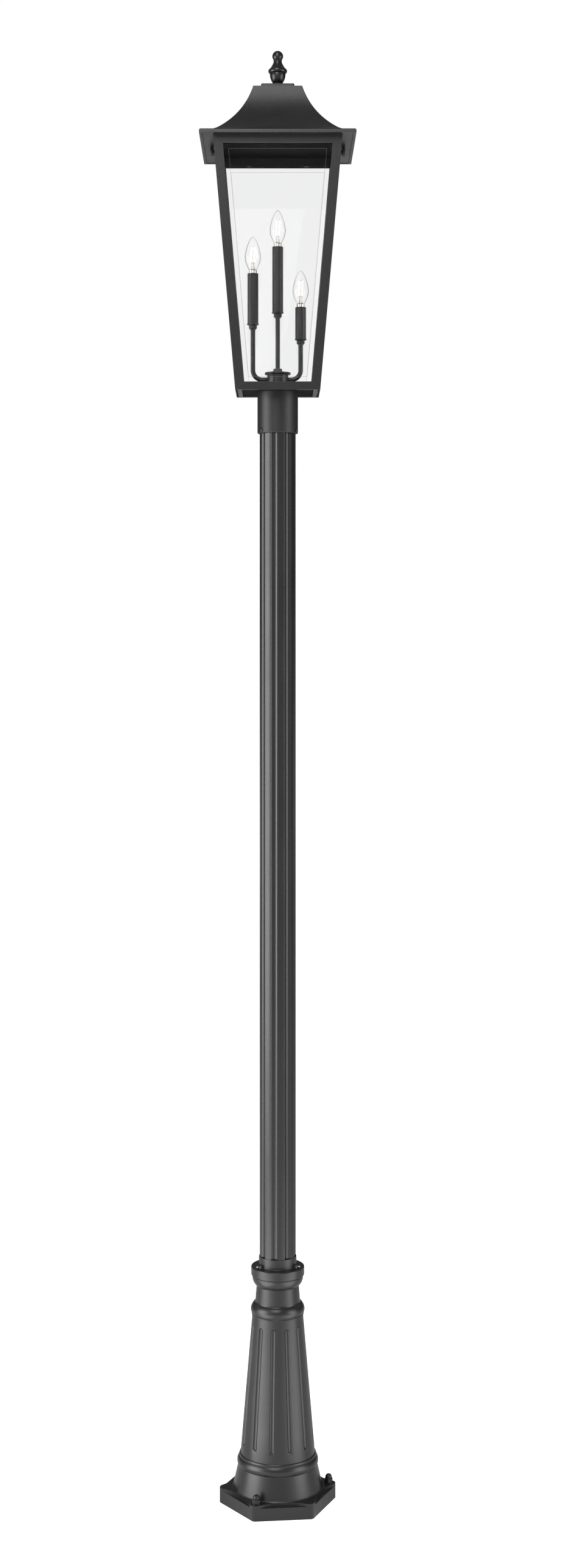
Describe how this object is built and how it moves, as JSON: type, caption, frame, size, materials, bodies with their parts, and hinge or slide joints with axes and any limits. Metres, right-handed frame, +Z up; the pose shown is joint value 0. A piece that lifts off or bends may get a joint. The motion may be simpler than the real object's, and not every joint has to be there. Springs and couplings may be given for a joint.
{
  "type": "triple head lamp post",
  "caption": "Garden lamp post with a hexagonal anchor base, fluted pole and four-sided glazed lantern with a lift-off pagoda roof over a candle-lamp cluster.",
  "frame": {"origin": "on the post's axis at ground level, in the plane of the anchor base's underside", "axes": "+Z up along the pole, -Y towards the lantern's front pane, X along the row of three lamps"},
  "size_m": [0.322, 0.322, 3.067],
  "materials": {
    "black_powder_coat": "satin textured powder coat",
    "gloss_black_finish": "semi-gloss powder coat",
    "black_hardware": "black",
    "steel_screws": "zinc plated",
    "bevelled_glass": "clear bevelled",
    "clear_bulb_glass": "clear",
    "nickel_bulb_base": "nickel",
    "filament_cream": "phosphor coat and glass mount",
    "black_plastic": "moulded"
  },
  "bodies": {
    "anchor_base": {"anchor_base": "black_powder_coat", "anchor_washers": "black_hardware", "anchor_cap_nuts": "black_hardware", "pole_collar": "black_powder_coat", "collar_set_screws": "steel_screws"},
    "pole": {"fluted_pole": "black_powder_coat"},
    "lantern": {"lantern_fitter": "black_powder_coat", "fitter_set_screws": "black_hardware", "lantern_floor": "black_powder_coat", "bottom_rails": "black_powder_coat", "top_rails": "black_powder_coat", "corner_post_front_left": "black_powder_coat", "corner_post_front_right": "black_powder_coat", "corner_post_back_left": "black_powder_coat", "corner_post_back_right": "black_powder_coat", "glass_pane_front": "bevelled_glass", "glass_pane_right": "bevelled_glass", "glass_pane_back": "bevelled_glass", "glass_pane_left": "bevelled_glass", "glass_clips": "steel_screws", "cluster_hub": "black_powder_coat", "hub_cover": "black_powder_coat", "stem_locknut": "black_hardware", "wire_nipple": "steel_screws", "nipple_nut": "steel_screws", "centre_stem": "black_powder_coat", "arm_left": "black_powder_coat", "arm_right": "black_powder_coat", "candle_cup_centre": "black_powder_coat", "candle_sleeve_centre": "black_powder_coat", "lampholder_centre": "black_plastic", "candle_cup_left": "black_powder_coat", "candle_sleeve_left": "black_powder_coat", "lampholder_left": "black_plastic", "candle_cup_right": "black_powder_coat", "candle_sleeve_right": "black_powder_coat", "lampholder_right": "black_plastic"},
    "roof": {"roof_shell": "black_powder_coat", "roof_soffit": "black_powder_coat", "roof_cap": "black_powder_coat", "finial_nut": "steel_screws"},
    "finial": {"finial": "gloss_black_finish", "finial_stud": "steel_screws"},
    "thumb_screw_left": {"thumb_screw_left": "black_hardware"},
    "thumb_screw_right": {"thumb_screw_right": "black_hardware"},
    "bulb_centre": {"bulb_base_centre": "nickel_bulb_base", "bulb_glass_centre": "clear_bulb_glass", "bulb_filaments_centre": "filament_cream"},
    "bulb_left": {"bulb_base_left": "nickel_bulb_base", "bulb_glass_left": "clear_bulb_glass", "bulb_filaments_left": "filament_cream"},
    "bulb_right": {"bulb_base_right": "nickel_bulb_base", "bulb_glass_right": "clear_bulb_glass", "bulb_filaments_right": "filament_cream"}
  },
  "joints": [
    {"name": "pole_turn", "type": "hinge", "parent": "anchor_base", "child": "pole", "pos_m": [0, 0, 0.48], "axis": [0, 0, 1], "range_deg": [-180, 180]},
    {"name": "lantern_lift", "type": "slide", "parent": "pole", "child": "lantern", "axis": [0, 0, 1], "range_m": [0, 0.09]},
    {"name": "roof_lift", "type": "slide", "parent": "lantern", "child": "roof", "axis": [0, 0, 1], "range_m": [0, 0.2]},
    {"name": "finial_turn", "type": "hinge", "parent": "roof", "child": "finial", "pos_m": [0, 0, 3], "axis": [0, 0, 1], "range_deg": [0, 1440]},
    {"name": "thumb_screw_left_turn", "type": "hinge", "parent": "lantern", "child": "thumb_screw_left", "pos_m": [-0.13, 0, 2.8522], "axis": [-1, 0, 0], "range_deg": [0, 1080]},
    {"name": "thumb_screw_right_turn", "type": "hinge", "parent": "lantern", "child": "thumb_screw_right", "pos_m": [0.13, 0, 2.8522], "axis": [1, 0, 0], "range_deg": [0, 1080]},
    {"name": "bulb_centre_turn", "type": "hinge", "parent": "lantern", "child": "bulb_centre", "pos_m": [0, 0, 2.652], "axis": [0, 0, 1], "range_deg": [0, 1440]},
    {"name": "bulb_left_turn", "type": "hinge", "parent": "lantern", "child": "bulb_left", "pos_m": [-0.0525, 0, 2.5955], "axis": [0, 0, 1], "range_deg": [0, 1440]},
    {"name": "bulb_right_turn", "type": "hinge", "parent": "lantern", "child": "bulb_right", "pos_m": [0.0485, 0, 2.524], "axis": [0, 0, 1], "range_deg": [0, 1440]}
  ]
}
